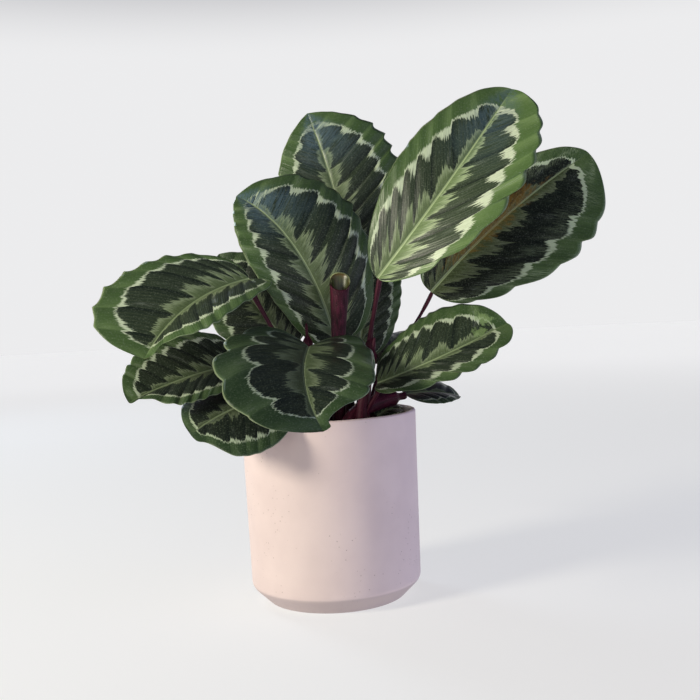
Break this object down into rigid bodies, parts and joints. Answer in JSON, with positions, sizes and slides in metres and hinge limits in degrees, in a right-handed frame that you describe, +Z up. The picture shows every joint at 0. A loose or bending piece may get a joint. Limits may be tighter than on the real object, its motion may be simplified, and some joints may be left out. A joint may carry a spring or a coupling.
{
  "type": "potted plant",
  "caption": "Broad patterned leaves on slender dark stalks rising from soil in a smooth straight-sided ceramic pot with a chamfered foot; one new leaf is still rolled.",
  "frame": {"origin": "centre of the pot's flat base", "axes": "+Z up along the pot's axis, -Y towards the front leaf, +X to the right seen from the front"},
  "size_m": [0.4133, 0.3136, 0.4023],
  "materials": {
    "pot": "matte",
    "soil": "matte",
    "leaf": "satin",
    "stalk": "satin"
  },
  "bodies": {
    "root": {"pot": "pot", "soil": "soil", "blade_high_right": "leaf", "stalk_high_right": "stalk", "blade_far_right": "leaf", "stalk_far_right": "stalk", "blade_high_back": "leaf", "stalk_high_back": "stalk", "blade_middle": "leaf", "stalk_middle": "stalk", "blade_far_left": "leaf", "stalk_far_left": "stalk", "blade_front": "leaf", "stalk_front": "stalk", "blade_low_left": "leaf", "stalk_low_left": "stalk", "blade_bottom_left": "leaf", "stalk_bottom_left": "stalk", "blade_right": "leaf", "stalk_right": "stalk", "blade_small_right": "leaf", "stalk_small_right": "stalk", "blade_behind_right": "leaf", "stalk_behind_right": "stalk", "blade_behind_left": "leaf", "stalk_behind_left": "stalk", "blade_tiny": "leaf", "stalk_tiny": "stalk", "blade_back_high": "leaf", "stalk_back_high": "stalk", "blade_back_right": "leaf", "stalk_back_right": "stalk", "blade_back_low": "leaf", "stalk_back_low": "stalk", "blade_back_side": "leaf", "stalk_back_side": "stalk", "rolled_leaf": "leaf", "stalk_rolled_leaf": "stalk"}
  },
  "joints": []
}
